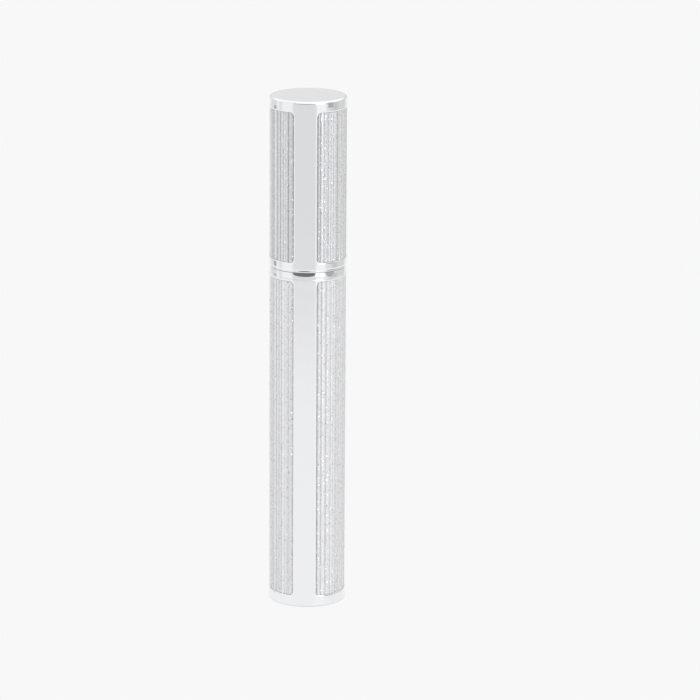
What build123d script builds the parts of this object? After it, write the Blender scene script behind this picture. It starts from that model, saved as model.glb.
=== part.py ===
"""A mascara: a slim chrome-framed bottle with a ribbed glitter panel, and the cap that carries its wand.

Millimetres, +Z up. The origin is the centre of the base, the bottle stands on Z = 0, and the closed cap
is screwed down on top. The smooth front strip of both chrome shells faces -Y.
"""

import os
from math import cos, degrees, radians, sin, sqrt

from build123d import *

os.makedirs("parts", exist_ok=True)

# Overall sizes
tube_radius = 9.0
bottle_height = 80.2
cap_height = 39.7
seam_gap = 0.1

# Chrome shells of the bottle and the cap
shell_wall = 1.4
cap_top_thickness = 1.2
cap_top_fillet = 0.7
base_fillet = 0.45
mouth_fillet = 0.15
shell_end_fillet = 0.2

# Window cut round each shell, which leaves one smooth strip at the front
strip_half_angle = 17.7
window_corner_radius = 0.9
base_band = 2.6
bottle_top_band = 0.6
cap_mouth_band = 2.2
cap_top_band = 2.6
pocket_depth = 0.65
cutter_margin = 0.6

# Ribbed glitter panels set into the windows
rib_count = 50
rib_depth = 0.25
rib_crest_below_frame = 0.15
panel_clearance = 0.03

# Collar ring between the bottle's shell and the cap
collar_height = 1.55
collar_bevel_height = 1.0
collar_bevel_depth = 0.15
collar_edge_fillet = 0.12
collar_skirt_length = 1.7
collar_skirt_wall = 0.6

# Base disc
base_disc_thickness = 0.8
base_disc_recess = 0.3

# Inner vial with its threaded neck
nesting_clearance = 0.03
vial_wall = 0.95
vial_floor_thickness = 0.9
neck_wall = 1.1
neck_height = 12.8
shoulder_thickness = 1.2

# Screw thread, right-hand, one start
thread_lead = 2.5
thread_height = 0.7
thread_root_width = 0.9
thread_crest_width = 0.45
thread_embed = 0.08
thread_radial_clearance = 0.25
neck_thread_turns = 1.25
cap_thread_turns = 1.0
release_extra_turns = 0.25
neck_thread_above_collar = 4.8

# Wiper pressed into the neck
wiper_flange_thickness = 0.8
wiper_flange_inset = 0.2
wiper_wall = 0.7
wiper_tube_length = 6.0
wiper_cone_length = 3.0
wiper_lip_length = 0.8
wiper_lip_wall = 0.5
wiper_stem_clearance = 0.05

# Mascara left in the vial
formula_gap = 0.3
formula_brush_gap = 0.45
formula_headspace = 13.7

# Seal washer
washer_thickness = 1.0
washer_skirt_gap = 0.55
washer_stem_clearance = 0.45

# Inner cap
inner_cap_recess = 0.4
inner_cap_wall = 0.62
inner_cap_mouth_chamfer = 0.25
inner_cap_web_thickness = 2.4
inner_cap_top_gap = 6.0

# Wand stem
stem_tip_radius = 1.65
stem_root_radius = 1.78
stem_plug_radius = 2.6
stem_plug_clearance = 0.03
stem_flange_radius = 3.4
stem_flange_thickness = 1.0
stem_bead_grip = 0.12
stem_bead_height = 0.6
stem_bead_play = 0.15

# Brush
brush_socket_depth = 8.0
brush_pin_radius = 0.9
brush_pin_clearance = 0.03
brush_core_radius = 1.15
brush_short_radius = 2.28
brush_wing_radius = 2.85
brush_long_end_radius = 2.6
brush_neck_gap = 0.85
brush_floor_gap = 1.3
brush_length = 24.0
brush_row_count = 20
brush_disc_thickness = 0.34
brush_spike_root_radius = 0.27
brush_spike_tip_radius = 0.09
brush_cone_length = 1.8
brush_cone_radius = 1.95
brush_cone_tip_radius = 0.22
brush_curl_radius = 0.42
brush_curl_thickness = 0.09
brush_curl_turn = 225.0

# Radii that follow from the sizes above, from the outside in
pocket_floor_radius = tube_radius - pocket_depth
rib_crest_radius = tube_radius - rib_crest_below_frame
rib_valley_radius = rib_crest_radius - rib_depth
shell_bore_radius = tube_radius - shell_wall
nested_radius = shell_bore_radius - nesting_clearance
vial_bore_radius = nested_radius - vial_wall
inner_cap_bore_radius = nested_radius - inner_cap_wall
washer_radius = inner_cap_bore_radius - washer_skirt_gap
neck_thread_radius = inner_cap_bore_radius - thread_radial_clearance
neck_radius = neck_thread_radius - thread_height
cap_thread_radius = neck_radius + thread_radial_clearance
neck_bore_radius = neck_radius - neck_wall
wiper_flange_radius = neck_radius - wiper_flange_inset
wiper_outer_radius = neck_bore_radius - nesting_clearance
wiper_bore_radius = wiper_outer_radius - wiper_wall
wiper_lip_radius = stem_root_radius + wiper_stem_clearance
washer_bore_radius = stem_root_radius + washer_stem_clearance
stem_bead_radius = washer_bore_radius + stem_bead_grip
stem_socket_radius = brush_pin_radius + brush_pin_clearance
web_hole_radius = stem_plug_radius + stem_plug_clearance
brush_long_mid_radius = neck_bore_radius - brush_neck_gap
formula_bore_radius = max(brush_long_mid_radius, brush_wing_radius) + formula_brush_gap

# Heights that follow from the sizes above, from the base up
vial_bottom = base_disc_recess + base_disc_thickness
vial_floor = vial_bottom + vial_floor_thickness
brush_bottom = vial_floor + brush_floor_gap + brush_cone_length
brush_top = brush_bottom + brush_length
socket_top = brush_top + brush_socket_depth
frame_top = bottle_height - collar_height
bottle_window = (base_band, frame_top - bottle_top_band)
shoulder_top = frame_top - collar_skirt_length
shoulder_under = shoulder_top - shoulder_thickness
vial_bore_top = shoulder_under - (vial_bore_radius - neck_bore_radius)
formula_bottom = vial_floor + formula_gap
formula_top = vial_bore_top - formula_headspace
cap_mouth = bottle_height + seam_gap
closed_height = cap_mouth + cap_height
cap_window = (cap_mouth + cap_mouth_band, closed_height - cap_top_band)
inner_cap_mouth = cap_mouth + inner_cap_recess
neck_top = bottle_height + neck_height
wiper_top = neck_top + wiper_flange_thickness
wiper_cone_top = wiper_top - wiper_tube_length
wiper_lip_top = wiper_cone_top - wiper_cone_length
web_bottom = wiper_top + washer_thickness
web_top = web_bottom + inner_cap_web_thickness
inner_cap_top = closed_height - cap_top_thickness - inner_cap_top_gap
neck_thread_start = bottle_height + neck_thread_above_collar
cap_thread_start = neck_thread_start - thread_lead / 2
release_rise = (neck_thread_turns + release_extra_turns) * thread_lead
bead_top = wiper_top - release_rise - stem_bead_play
bead_bottom = bead_top - stem_bead_height

# Angles of the window
window_angle = 360 - 2 * strip_half_angle
window_start_angle = strip_half_angle - 90


def half_plane(angle):
    """The half plane through the Z axis at an angle from +X: sketch X is the radius, sketch Y is Z."""
    a = radians(angle)
    return Plane(origin=(0, 0, 0), x_dir=(cos(a), sin(a), 0), z_dir=(sin(a), -cos(a), 0))


def window_block(bottom, top, floor_radius, clearance):
    """A C-shaped block with rounded corners that fills a window, less a clearance on every side."""
    outer_radius = tube_radius + cutter_margin
    side_angle = degrees(clearance / rib_crest_radius)
    with BuildPart() as block:
        with BuildSketch(half_plane(window_start_angle + side_angle)):
            with Locations(((floor_radius + outer_radius) / 2, (bottom + top) / 2)):
                Rectangle(outer_radius - floor_radius, top - bottom - 2 * clearance)
        revolve(axis=Axis.Z, revolution_arc=window_angle - 2 * side_angle)
        corners = block.edges().filter_by(GeomType.LINE).filter_by(Axis.Z, reverse=True)
        fillet(corners, window_corner_radius)
    return block.part


def ribbed_panel(bottom, top, label):
    """A wrap of rounded upright ribs, cut to the window that it sits in."""
    rib_angle = window_angle / rib_count
    with BuildPart() as panel:
        with BuildSketch(Plane.XY.offset(bottom)):
            with BuildLine():
                for rib in range(rib_count):
                    start = radians(window_start_angle + rib * rib_angle)
                    middle = start + radians(rib_angle / 2)
                    end = start + radians(rib_angle)
                    ThreePointArc(
                        (rib_valley_radius * cos(start), rib_valley_radius * sin(start)),
                        (rib_crest_radius * cos(middle), rib_crest_radius * sin(middle)),
                        (rib_valley_radius * cos(end), rib_valley_radius * sin(end)),
                    )
                first = radians(window_start_angle)
                last = radians(window_start_angle + window_angle)
                Line(
                    (rib_valley_radius * cos(last), rib_valley_radius * sin(last)),
                    (pocket_floor_radius * cos(last), pocket_floor_radius * sin(last)),
                )
                ThreePointArc(
                    (pocket_floor_radius * cos(last), pocket_floor_radius * sin(last)),
                    (0, pocket_floor_radius),
                    (pocket_floor_radius * cos(first), pocket_floor_radius * sin(first)),
                )
                Line(
                    (pocket_floor_radius * cos(first), pocket_floor_radius * sin(first)),
                    (rib_valley_radius * cos(first), rib_valley_radius * sin(first)),
                )
            make_face()
        extrude(amount=top - bottom)
        trim = window_block(bottom, top, pocket_floor_radius - cutter_margin, panel_clearance)
        add(trim, mode=Mode.INTERSECT)
    panel.part.label = label
    return panel.part


def thread_ridge(root_radius, crest_radius, start, turns):
    """One start of a right-hand thread: a trapezoid carried up a helix from the height start."""
    inward = 1 if crest_radius < root_radius else -1
    embedded_radius = root_radius + inward * thread_embed
    with BuildPart() as ridge:
        with BuildLine() as path:
            Helix(pitch=thread_lead, height=turns * thread_lead, radius=root_radius, center=(0, 0, start))
        with BuildSketch(Plane(origin=(0, 0, start), x_dir=(1, 0, 0), z_dir=(0, -1, 0))):
            with BuildLine():
                Polyline(
                    (embedded_radius, -thread_root_width / 2),
                    (crest_radius, -thread_crest_width / 2),
                    (crest_radius, thread_crest_width / 2),
                    (embedded_radius, thread_root_width / 2),
                    close=True,
                )
            make_face()
        sweep(path=path.line, is_frenet=True)
    return ridge.part


# Bottle frame shell: a chrome tube with a window pocket round it and one strip left smooth
with BuildPart() as bottle_frame_shell:
    with BuildSketch(half_plane(0)):
        with BuildLine():
            Polyline(
                (shell_bore_radius, 0),
                (tube_radius, 0),
                (tube_radius, frame_top),
                (shell_bore_radius, frame_top),
                close=True,
            )
        make_face()
    revolve(axis=Axis.Z)
    rims = bottle_frame_shell.edges().filter_by(GeomType.CIRCLE).group_by(SortBy.RADIUS)[-1]
    fillet(rims.sort_by(Axis.Z)[0], base_fillet)
    rims = bottle_frame_shell.edges().filter_by(GeomType.CIRCLE).group_by(Axis.Z)[-1]
    fillet(rims.sort_by(SortBy.RADIUS)[-1], shell_end_fillet)
    add(window_block(*bottle_window, pocket_floor_radius, 0), mode=Mode.SUBTRACT)
bottle_frame_shell.part.label = "bottle_frame_shell"

bottle_ribbed_panel = ribbed_panel(*bottle_window, "bottle_ribbed_panel")

# Base disc, set a little way up inside the shell
with BuildPart() as bottle_base_disc:
    with BuildSketch(Plane.XY.offset(base_disc_recess)):
        Circle(nested_radius)
    extrude(amount=base_disc_thickness)
    chamfer(bottle_base_disc.edges().sort_by(Axis.Z)[0], base_disc_thickness / 4)
bottle_base_disc.part.label = "bottle_base_disc"

# Collar ring: a bevelled chrome band over the shell's end, with a skirt down to the vial's shoulder
with BuildPart() as bottle_collar_ring:
    with BuildSketch(half_plane(0)):
        with BuildLine():
            Polyline(
                (neck_radius + nesting_clearance, frame_top),
                (neck_radius + nesting_clearance, bottle_height),
                (tube_radius - collar_bevel_depth, bottle_height),
                (tube_radius, bottle_height - collar_bevel_height),
                (tube_radius, frame_top),
                (nested_radius, frame_top),
                (nested_radius, shoulder_top),
                (nested_radius - collar_skirt_wall, shoulder_top),
                (nested_radius - collar_skirt_wall, frame_top),
                close=True,
            )
        make_face()
    revolve(axis=Axis.Z)
    outer = bottle_collar_ring.edges().filter_by(GeomType.CIRCLE).group_by(SortBy.RADIUS)[-1]
    fillet(outer.sort_by(Axis.Z)[0], collar_edge_fillet)
bottle_collar_ring.part.label = "bottle_collar_ring"

# Inner vial: the mascara's own container, from the base disc up to the threaded neck
with BuildPart() as inner_vial:
    with BuildSketch(half_plane(0)):
        with BuildLine():
            Polyline(
                (0, vial_bottom),
                (nested_radius, vial_bottom),
                (nested_radius, shoulder_top),
                (neck_radius, shoulder_top),
                (neck_radius, neck_top),
                (neck_bore_radius, neck_top),
                (neck_bore_radius, shoulder_under),
                (vial_bore_radius, vial_bore_top),
                (vial_bore_radius, vial_floor),
                (0, vial_floor),
                close=True,
            )
        make_face()
    revolve(axis=Axis.Z)
    add(thread_ridge(neck_radius, neck_thread_radius, neck_thread_start, neck_thread_turns))
inner_vial.part.label = "inner_vial"

# Wiper: a flanged sleeve whose cone narrows to a lip that strips the stem
with BuildPart() as wiper:
    with BuildSketch(half_plane(0)):
        with BuildLine():
            Polyline(
                (wiper_flange_radius, wiper_top),
                (wiper_bore_radius, wiper_top),
                (wiper_bore_radius, wiper_cone_top),
                (wiper_lip_radius, wiper_lip_top),
                (wiper_lip_radius, wiper_lip_top - wiper_lip_length),
                (wiper_lip_radius + wiper_lip_wall, wiper_lip_top - wiper_lip_length),
                (wiper_lip_radius + wiper_lip_wall, wiper_lip_top),
                (wiper_outer_radius, wiper_cone_top - wiper_wall),
                (wiper_outer_radius, neck_top),
                (wiper_flange_radius, neck_top),
                close=True,
            )
        make_face()
    revolve(axis=Axis.Z)
wiper.part.label = "wiper"

# Mascara: what is left in the vial once the brush has cleared its own way through it
with BuildPart() as mascara_formula:
    with BuildSketch(Plane.XY.offset(formula_bottom)):
        Circle(vial_bore_radius - formula_gap)
        Circle(formula_bore_radius, mode=Mode.SUBTRACT)
    extrude(amount=formula_top - formula_bottom)
mascara_formula.part.label = "mascara_formula"

# Seal washer between the wiper's flange and the inner cap
with BuildPart() as seal_washer:
    with BuildSketch(Plane.XY.offset(wiper_top)):
        Circle(washer_radius)
        Circle(washer_bore_radius, mode=Mode.SUBTRACT)
    extrude(amount=washer_thickness)
seal_washer.part.label = "seal_washer"

# Cap frame shell: a chrome tube closed at the top, with the same window as the bottle
with BuildPart() as cap_frame_shell:
    with BuildSketch(half_plane(0)):
        with BuildLine():
            Polyline(
                (shell_bore_radius, cap_mouth),
                (tube_radius, cap_mouth),
                (tube_radius, closed_height),
                (0, closed_height),
                (0, closed_height - cap_top_thickness),
                (shell_bore_radius, closed_height - cap_top_thickness),
                close=True,
            )
        make_face()
    revolve(axis=Axis.Z)
    rims = cap_frame_shell.edges().filter_by(GeomType.CIRCLE).group_by(SortBy.RADIUS)[-1]
    fillet(rims.sort_by(Axis.Z)[-1], cap_top_fillet)
    rims = cap_frame_shell.edges().filter_by(GeomType.CIRCLE).group_by(Axis.Z)[0]
    fillet(rims.sort_by(SortBy.RADIUS)[-1], mouth_fillet)
    add(window_block(*cap_window, pocket_floor_radius, 0), mode=Mode.SUBTRACT)
cap_frame_shell.part.label = "cap_frame_shell"

cap_ribbed_panel = ribbed_panel(*cap_window, "cap_ribbed_panel")

# Inner cap: threaded skirt, a web that holds the stem, and an open sleeve that steadies the shell
with BuildPart() as inner_cap:
    with BuildSketch(half_plane(0)):
        with BuildLine():
            Polyline(
                (inner_cap_bore_radius + inner_cap_mouth_chamfer, inner_cap_mouth),
                (nested_radius, inner_cap_mouth),
                (nested_radius, inner_cap_top),
                (inner_cap_bore_radius, inner_cap_top),
                (inner_cap_bore_radius, web_top),
                (web_hole_radius, web_top),
                (web_hole_radius, web_bottom),
                (inner_cap_bore_radius, web_bottom),
                (inner_cap_bore_radius, inner_cap_mouth + inner_cap_mouth_chamfer),
                close=True,
            )
        make_face()
    revolve(axis=Axis.Z)
    add(thread_ridge(inner_cap_bore_radius, cap_thread_radius, cap_thread_start, cap_thread_turns))
inner_cap.part.label = "inner_cap"

# Wand stem: snapped into the web from above, slightly tapered, with a bead that keeps the washer on it
with BuildPart() as wand_stem:
    with BuildSketch(half_plane(0)):
        with BuildLine():
            Polyline(
                (stem_socket_radius, brush_top),
                (stem_tip_radius, brush_top),
                (stem_root_radius, bead_bottom),
                (stem_bead_radius, bead_bottom + stem_bead_height / 3),
                (stem_bead_radius, bead_top - stem_bead_height / 3),
                (stem_root_radius, bead_top),
                (stem_root_radius, web_bottom),
                (stem_plug_radius, web_bottom),
                (stem_plug_radius, web_top),
                (stem_flange_radius, web_top),
                (stem_flange_radius, web_top + stem_flange_thickness),
                (0, web_top + stem_flange_thickness),
                (0, socket_top),
                (stem_socket_radius, socket_top),
                close=True,
            )
        make_face()
    revolve(axis=Axis.Z)
wand_stem.part.label = "wand_stem"

# Brush: a moulded core with short bristles all round, drawn as discs, and one long side of spikes
row_pitch = brush_length / brush_row_count
with BuildPart() as brush:
    with BuildSketch(half_plane(0)):
        with BuildLine():
            Polyline(
                (0, socket_top - brush_pin_clearance),
                (brush_pin_radius, socket_top - brush_pin_clearance),
                (brush_pin_radius, brush_top),
                (brush_core_radius, brush_top),
                (brush_core_radius, brush_bottom),
                (brush_cone_radius, brush_bottom),
                (brush_cone_tip_radius, brush_bottom - brush_cone_length),
                (0, brush_bottom - brush_cone_length),
                close=True,
            )
        make_face()
    revolve(axis=Axis.Z)
    for row in range(brush_row_count):
        height = brush_bottom + row_pitch * (row + 0.5)
        with BuildSketch(Plane.XY.offset(height - brush_disc_thickness / 2)):
            Circle(brush_wing_radius if row == brush_row_count - 1 else brush_short_radius)
        extrude(amount=brush_disc_thickness)
    for row in range(brush_row_count - 1):
        height = brush_bottom + row_pitch * (row + 0.5)
        along = 2 * (height - brush_bottom) / brush_length - 1
        bulge = (brush_long_mid_radius - brush_long_end_radius) * sqrt(1 - along * along)
        spike_length = brush_long_end_radius + bulge - brush_core_radius / 2
        with Locations(Plane(origin=(brush_core_radius / 2, 0, height), z_dir=(1, 0, 0))):
            Cone(
                brush_spike_root_radius,
                brush_spike_tip_radius,
                spike_length,
                align=(Align.CENTER, Align.CENTER, Align.MIN),
            )
    with BuildLine(half_plane(0)) as curl:
        CenterArc(
            (brush_curl_radius, brush_bottom - brush_cone_length + brush_curl_thickness),
            brush_curl_radius,
            180,
            brush_curl_turn,
        )
    with BuildSketch(Plane(origin=curl.line @ 0, z_dir=curl.line % 0)):
        Circle(brush_curl_thickness)
    sweep(path=curl.line)
brush.part.label = "brush"

pieces = [
    bottle_frame_shell.part,
    bottle_ribbed_panel,
    bottle_base_disc.part,
    bottle_collar_ring.part,
    inner_vial.part,
    wiper.part,
    mascara_formula.part,
    seal_washer.part,
    cap_frame_shell.part,
    cap_ribbed_panel,
    inner_cap.part,
    wand_stem.part,
    brush.part,
]
for piece in pieces:
    export_step(piece, f"parts/{piece.label}.step")
    print(f"{piece.label:22s} {piece.volume:10.2f} mm3, {len(piece.solids())} solid")
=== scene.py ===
"""Looks of a slim mascara: chrome shells round ribbed glitter panels, the vial inside and its wand.

Shapes are worked out in millimetres as numpy grids and written to meshes in metres, in the frame of the
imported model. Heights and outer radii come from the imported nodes; walls and details are named fields.
"""

from __future__ import annotations

import logging
import math
from dataclasses import dataclass, field
from enum import Enum
from typing import Any, ClassVar

import bpy
import numpy as np
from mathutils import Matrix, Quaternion, Vector

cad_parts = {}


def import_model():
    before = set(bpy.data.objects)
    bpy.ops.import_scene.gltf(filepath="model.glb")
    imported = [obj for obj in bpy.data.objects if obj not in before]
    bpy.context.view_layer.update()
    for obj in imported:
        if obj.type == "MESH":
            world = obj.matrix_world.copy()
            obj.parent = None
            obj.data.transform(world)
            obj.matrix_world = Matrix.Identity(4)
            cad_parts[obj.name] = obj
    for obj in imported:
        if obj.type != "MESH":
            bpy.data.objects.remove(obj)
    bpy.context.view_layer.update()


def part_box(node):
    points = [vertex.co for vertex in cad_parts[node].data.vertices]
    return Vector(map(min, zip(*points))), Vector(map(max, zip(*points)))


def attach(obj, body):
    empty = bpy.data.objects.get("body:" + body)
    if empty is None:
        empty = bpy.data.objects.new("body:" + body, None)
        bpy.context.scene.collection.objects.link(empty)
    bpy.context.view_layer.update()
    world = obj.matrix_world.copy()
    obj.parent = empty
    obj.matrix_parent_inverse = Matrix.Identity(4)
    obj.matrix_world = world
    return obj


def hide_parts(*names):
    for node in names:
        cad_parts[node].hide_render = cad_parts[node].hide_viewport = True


LOG = logging.getLogger("mascara")
MM = 0.001
TURN = 2 * math.pi
UP = np.array([0.0, 0.0, 1.0])
WHITE = (1, 1, 1, 1)

Colour = tuple[float, float, float]
Corner = tuple[float, float, float]
Pair = tuple[np.ndarray, np.ndarray]
Socket = bpy.types.NodeSocket


# Geometry tools


def unit(vectors: np.ndarray) -> np.ndarray:
    """Scale vectors, kept on the last axis, to length one."""
    length = np.linalg.norm(vectors, axis=-1, keepdims=True)
    return vectors / np.maximum(length, 1e-12)


def smooth(values: np.ndarray) -> np.ndarray:
    """Ease from 0 to 1: 3x^2 - 2x^3, with x held between 0 and 1."""
    held = np.clip(values, 0.0, 1.0)
    return held * held * (3 - 2 * held)


def grid_normals(points: np.ndarray, outward: np.ndarray) -> np.ndarray:
    """Work out a grid's normals as the cross product of its two gradients.

    Args:
        points: The grid, rows by columns by xyz.
        outward: A rough outward direction at each point, which settles the sign.

    Returns:
        Unit normals, one for each point.
    """
    along = np.gradient(points, axis=-3)
    across = np.gradient(points, axis=-2)
    normals = unit(np.cross(along, across))
    sign = np.sign((normals * outward).sum(-1, keepdims=True))
    return normals * np.where(sign == 0, 1, sign)


def rounded_path(corners: list[Corner], steps: int = 6) -> Pair:
    """Walk along corner points, replacing each inner corner by an arc tangent to both of its sides.

    An arc of radius f that turns by t starts f tan(t / 2) before its corner. The normal is the left-hand
    one, so the solid lies on the right of the walk.

    Args:
        corners: Radius, height and arc radius of each corner; the first and last have no arc.
        steps: Segments in each arc.

    Returns:
        The path's points and its normals, both as radius and height.
    """
    where = np.array([corner[:2] for corner in corners], float)
    headings = unit(np.diff(where, axis=0))
    left = np.stack((-headings[:, 1], headings[:, 0]), -1)
    points = [where[:1]]
    normals = [left[:1]]
    for index in range(1, len(corners) - 1):
        before, after = headings[index - 1], headings[index]
        turn = math.atan2(before[0] * after[1] - before[1] * after[0], float(before @ after))
        arc = corners[index][2]
        angles = np.linspace(0, turn, steps + 1)
        start = left[index - 1]
        fan = np.stack(
            (
                start[0] * np.cos(angles) - start[1] * np.sin(angles),
                start[0] * np.sin(angles) + start[1] * np.cos(angles),
            ),
            -1,
        )
        side = -1.0 if turn > 0 else 1.0
        centre = where[index] - before * arc * math.tan(abs(turn) / 2) - side * arc * start
        points.append(centre + side * arc * fan)
        normals.append(fan)
    points.append(where[-1:])
    normals.append(left[-1:])
    return np.concatenate(points), np.concatenate(normals)


def revolve(path: Pair, angles: np.ndarray) -> Pair:
    """Turn a path of radius and height about the Z axis: (r cos a, r sin a, z)."""
    turned = []
    for part in path:
        x = part[:, :1] * np.cos(angles)
        y = part[:, :1] * np.sin(angles)
        z = np.broadcast_to(part[:, 1:], x.shape)
        turned.append(np.stack((x, y, z), -1))
    return turned[0], turned[1]


def compass(angle: np.ndarray) -> Pair:
    """Give the directions away from the Z axis and round it at each angle."""
    across, along, level = np.cos(angle), np.sin(angle), np.zeros_like(angle)
    return np.stack((across, along, level), -1), np.stack((-along, across, level), -1)


def round_angles(count: int) -> np.ndarray:
    """Angles of one whole turn, both ends included."""
    return np.linspace(0, TURN, count + 1)


class Surface:
    """Grids of points in millimetres with their outward normals, joined into one closed mesh.

    Points in the same cell of size WELD are one vertex. OFFSET keeps round numbers inside their cells.
    """

    WELD: ClassVar[float] = 2e-4
    OFFSET: ClassVar[float] = 0.3719

    def __init__(self) -> None:
        """Start with no grids."""
        self.points: list[np.ndarray] = []
        self.normals: list[np.ndarray] = []
        self.quads: list[np.ndarray] = []
        self.count = 0

    def add(self, points: np.ndarray, normals: np.ndarray) -> Surface:
        """Add one grid, or many of the same size.

        Args:
            points: Rows by columns by xyz, with any number of copies on a leading axis.
            normals: Outward normals that broadcast to the shape of points.

        Returns:
            This surface.
        """
        rows, columns = points.shape[-3:-1]
        size = rows * columns
        copies = points.size // (3 * size)
        corner = np.arange(size).reshape(rows, columns)
        quad = np.stack((corner[:-1, :-1], corner[1:, :-1], corner[1:, 1:], corner[:-1, 1:]), -1)
        starts = self.count + size * np.arange(copies)
        self.quads.append((quad.reshape(-1, 4) + starts[:, None, None]).reshape(-1, 4))
        self.points.append(points.reshape(-1, 3))
        self.normals.append(np.broadcast_to(normals, points.shape).reshape(-1, 3))
        self.count += size * copies
        return self

    def to_object(self, name: str) -> bpy.types.Object:
        """Weld the grids where they meet, drop collapsed faces, turn faces outwards and make an object.

        Args:
            name: Name of the object and its mesh.

        Returns:
            An object at the origin, with its place in its mesh and the worked-out normals on its corners.
        """
        points = np.concatenate(self.points)
        normals = unit(np.concatenate(self.normals))
        quads = np.concatenate(self.quads)
        keys = np.floor(points / self.WELD + self.OFFSET).astype(np.int64)
        _, first, place = np.unique(keys, axis=0, return_index=True, return_inverse=True)
        place = place.reshape(-1)
        a, b, c, d = (points[quads[:, side]] for side in range(4))
        facing = np.cross(c - a, d - b)
        inward = (facing * normals[quads].sum(1)).sum(1) < 0
        quads[inward] = quads[inward, ::-1]
        faces = place[quads]
        fresh = faces != np.roll(faces, 1, axis=1)
        sides = fresh.sum(1)
        whole, cut = sides == 4, sides == 3
        corners, sources = (
            np.concatenate((table[whole].reshape(-1), table[cut][fresh[cut]])) for table in (faces, quads)
        )
        totals = np.concatenate((np.full(whole.sum(), 4), np.full(cut.sum(), 3)))
        mesh = bpy.data.meshes.new(name)
        mesh.vertices.add(len(first))
        mesh.vertices.foreach_set("co", (points[first] * MM).astype(np.float32).reshape(-1))
        mesh.loops.add(len(corners))
        mesh.loops.foreach_set("vertex_index", corners.astype(np.int32))
        mesh.polygons.add(len(totals))
        mesh.polygons.foreach_set("loop_start", (np.cumsum(totals) - totals).astype(np.int32))
        mesh.update(calc_edges=True)
        mesh.shade_smooth()
        if mesh.validate(clean_customdata=False):
            LOG.warning("%s had faces that Blender mended", name)
        else:
            mesh.normals_split_custom_set(normals[sources].tolist())
        made = bpy.data.objects.new(name, mesh)
        bpy.context.scene.collection.objects.link(made)
        return made


def helical_ridge(
    root: float,
    crest: float,
    start: float,
    turns: float,
    lead: float,
    widths: tuple[float, float],
) -> Pair:
    """Carry a rounded trapezoid up a helix: angle a is at the height start + lead a / one turn.

    The section shrinks to a point over its first and last eighth of a turn, so both ends are closed.

    Args:
        root: Radius at the ridge's foot, just inside the wall that it stands on.
        crest: Radius at its top.
        start: Height of its middle at the angle zero.
        turns: Number of turns.
        lead: Rise in one turn.
        widths: Width at the foot and at the top.

    Returns:
        Points and normals of the ridge.
    """
    foot, top = widths[0] / 2, widths[1] / 2
    height = abs(crest - root)
    foot_arc, top_arc = 0.02, 0.1
    section = [
        (0, 0, 0),
        (0, foot, foot_arc),
        (height, top, top_arc),
        (height, -top, top_arc),
        (0, -foot, foot_arc),
        (0, 0, 0),
    ]
    shape, _ = rounded_path(section, 4)
    along = np.linspace(0, turns * TURN, int(72 * turns) + 1)[:, None]
    eighth = TURN / 8
    ramp = smooth(along / eighth) * smooth((turns * TURN - along) / eighth)
    sign = 1.0 if crest > root else -1.0
    radius = root + sign * shape[:, 0] * ramp
    height_at = start + lead * along / TURN + shape[:, 1] * ramp
    points = np.stack((radius * np.cos(along), radius * np.sin(along), height_at), -1)
    inside = root + sign * height / 3 * ramp
    middle = np.stack((inside * np.cos(along), inside * np.sin(along), start + lead * along / TURN), -1)
    return points, grid_normals(points, points - middle)


def spikes(
    roots: np.ndarray,
    headings: np.ndarray,
    lengths: np.ndarray,
    foot: float,
    tip: float,
    droop: float,
) -> Pair:
    """Make round tapered spikes: the radius falls evenly along each one and closes in a blunt end.

    Args:
        roots: Where each spike starts.
        headings: The unit direction of each spike.
        lengths: The length of each spike.
        foot: Radius at the start.
        tip: Radius near the end.
        droop: How far a spike's end bends down, as a share of its length.

    Returns:
        Points and normals, with one grid for each spike.
    """
    along = np.array([0, 0, 0.3, 0.6, 0.85, 0.97, 1.0])
    shares = np.array([0, 1, 0.62, 0.34, 0.12, 0.0, 0.0])
    radius = tip + (foot - tip) * shares
    radius[0] = radius[-1] = 0.0
    around = np.linspace(0, TURN, 7)
    side = unit(np.cross(headings, UP))
    rise = np.cross(side, headings)
    sideways = side[:, None, None] * np.cos(around)[:, None]
    out = sideways + rise[:, None, None] * np.sin(around)[:, None]
    reach = (along * lengths[:, None])[..., None, None]
    line = roots[:, None, None] + headings[:, None, None] * reach
    sag = droop * lengths[:, None] * along**2
    line = line - sag[..., None, None] * UP
    points = line + out * radius[:, None, None]
    normals = np.broadcast_to(out, points.shape).copy()
    normals[:, 0] = -headings[:, None]
    normals[:, -1] = headings[:, None]
    return points, normals


# Shader tools


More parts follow.
